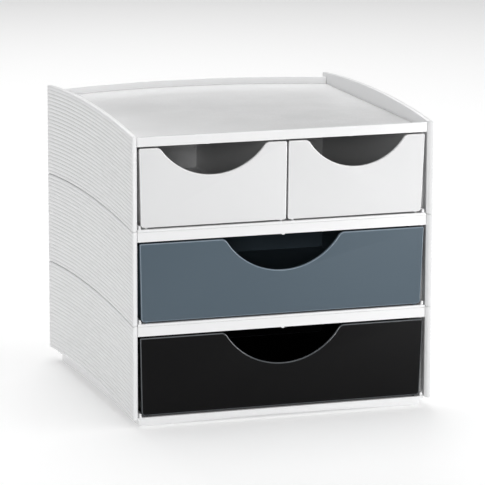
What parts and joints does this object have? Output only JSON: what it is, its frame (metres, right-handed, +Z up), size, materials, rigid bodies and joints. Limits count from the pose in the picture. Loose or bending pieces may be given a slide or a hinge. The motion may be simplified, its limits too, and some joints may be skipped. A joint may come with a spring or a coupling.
{
  "type": "desk organizer",
  "caption": "Stackable desk organizer with ribbed arched sides, a recessed tray on top and open-scooped slide-out drawers in three colours.",
  "frame": {"origin": "bottom centre of the whole object's box, on the surface it stands on", "axes": "+X to the right seen from the drawer fronts, +Y to the curved back, +Z up; the drawers open towards -Y"},
  "size_m": [0.245, 0.265, 0.2347],
  "materials": {
    "casing_gloss": "glossy white moulded plastic",
    "casing_satin": "satin white moulded plastic",
    "ribbed_side": "satin white moulded plastic with fine ribs",
    "drawer_white": "glossy white moulded plastic",
    "drawer_slate": "glossy slate blue moulded plastic",
    "drawer_black": "glossy black moulded plastic"
  },
  "bodies": {
    "bottom_module": {"bottom_floor": "casing_gloss", "bottom_deck": "casing_gloss", "bottom_back_panel": "casing_satin", "bottom_left_side": "ribbed_side", "bottom_right_side": "ribbed_side"},
    "middle_module": {"middle_floor": "casing_gloss", "middle_deck": "casing_gloss", "middle_back_panel": "casing_satin", "middle_left_side": "ribbed_side", "middle_right_side": "ribbed_side"},
    "top_module": {"top_floor": "casing_gloss", "top_deck": "casing_gloss", "top_back_panel": "casing_satin", "top_left_side": "ribbed_side", "top_right_side": "ribbed_side", "center_guide": "casing_satin"},
    "small_drawer_left_body": {"small_drawer_left": "drawer_white"},
    "small_drawer_right_body": {"small_drawer_right": "drawer_white"},
    "middle_drawer_body": {"middle_drawer": "drawer_slate"},
    "bottom_drawer_body": {"bottom_drawer": "drawer_black"}
  },
  "joints": [
    {"name": "middle_module_lift", "type": "slide", "parent": "bottom_module", "child": "middle_module", "axis": [0, 0, 1], "range_m": [0, 0.03]},
    {"name": "top_module_lift", "type": "slide", "parent": "middle_module", "child": "top_module", "axis": [0, 0, 1], "range_m": [0, 0.03]},
    {"name": "bottom_drawer_slide", "type": "slide", "parent": "bottom_module", "child": "bottom_drawer_body", "axis": [0, -1, 0], "range_m": [0, 0.197]},
    {"name": "middle_drawer_slide", "type": "slide", "parent": "middle_module", "child": "middle_drawer_body", "axis": [0, -1, 0], "range_m": [0, 0.197]},
    {"name": "small_drawer_left_slide", "type": "slide", "parent": "top_module", "child": "small_drawer_left_body", "axis": [0, -1, 0], "range_m": [0, 0.197]},
    {"name": "small_drawer_right_slide", "type": "slide", "parent": "top_module", "child": "small_drawer_right_body", "axis": [0, -1, 0], "range_m": [0, 0.197]}
  ]
}
